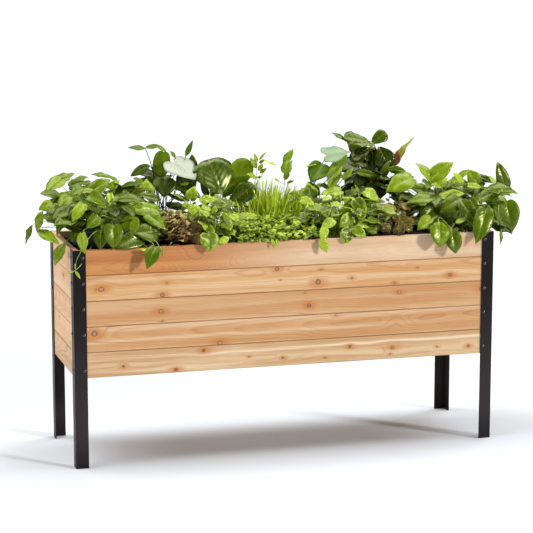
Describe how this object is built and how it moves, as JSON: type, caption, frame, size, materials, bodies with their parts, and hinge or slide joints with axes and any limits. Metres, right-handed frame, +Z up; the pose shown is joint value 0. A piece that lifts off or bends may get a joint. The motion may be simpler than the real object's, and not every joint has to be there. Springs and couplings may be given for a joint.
{
  "type": "raised planter on legs",
  "caption": "Raised cedar planter box inside black steel angle legs, with a slatted floor, fabric liner, soil and a mixed planting of leafy foliage plants.",
  "frame": {"origin": "on the ground under the middle of the planter", "axes": "+Z up; +X along the long side, to the right as seen from the front; the long front faces -Y"},
  "size_m": [1.824, 0.58, 1.125],
  "materials": {
    "black_steel": "satin black powder coat",
    "cedar": "planed, clear oiled",
    "rough_cedar": "rough sawn",
    "liner_cloth": "needled black geotextile",
    "soil": "crumbly potting mix",
    "black_plastic": "thin moulded nursery pot",
    "variegated_foliage": "waxy leaf, marbled green and yellow",
    "red_green_foliage": "satin leaf, green with red-brown",
    "fresh_green_foliage": "soft fresh green leaf and blade",
    "glossy_foliage": "glossy leathery dark leaf"
  },
  "bodies": {
    "root": {"leg_front_left": "black_steel", "leg_front_right": "black_steel", "leg_back_left": "black_steel", "leg_back_right": "black_steel", "front_board_1": "cedar", "front_board_2": "cedar", "front_board_3": "cedar", "front_board_4": "cedar", "front_board_5": "cedar", "back_board_1": "cedar", "back_board_2": "cedar", "back_board_3": "cedar", "back_board_4": "cedar", "back_board_5": "cedar", "left_end_board_1": "cedar", "left_end_board_2": "cedar", "left_end_board_3": "cedar", "left_end_board_4": "cedar", "left_end_board_5": "cedar", "right_end_board_1": "cedar", "right_end_board_2": "cedar", "right_end_board_3": "cedar", "right_end_board_4": "cedar", "right_end_board_5": "cedar", "floor_cleat_front": "rough_cedar", "floor_cleat_back": "rough_cedar", "floor_slat_01": "rough_cedar", "floor_slat_02": "rough_cedar", "floor_slat_03": "rough_cedar", "floor_slat_04": "rough_cedar", "floor_slat_05": "rough_cedar", "floor_slat_06": "rough_cedar", "floor_slat_07": "rough_cedar", "floor_slat_08": "rough_cedar", "floor_slat_09": "rough_cedar", "floor_slat_10": "rough_cedar", "fabric_liner": "liner_cloth", "potting_soil": "soil", "left_pothos_pot": "black_plastic", "palmate_begonia_pot": "black_plastic", "left_pothos": "variegated_foliage", "golden_pothos": "variegated_foliage", "peperomia": "variegated_foliage", "right_pothos": "variegated_foliage", "palmate_begonia": "red_green_foliage", "spotted_begonia": "red_green_foliage", "croton": "red_green_foliage", "creeping_groundcover": "fresh_green_foliage", "grass_clump": "fresh_green_foliage", "left_sprig": "fresh_green_foliage", "right_sprig": "fresh_green_foliage", "tall_anthurium": "glossy_foliage", "pale_anthurium": "glossy_foliage", "left_fiddle_fig": "glossy_foliage", "right_fiddle_fig": "glossy_foliage"}
  },
  "joints": []
}
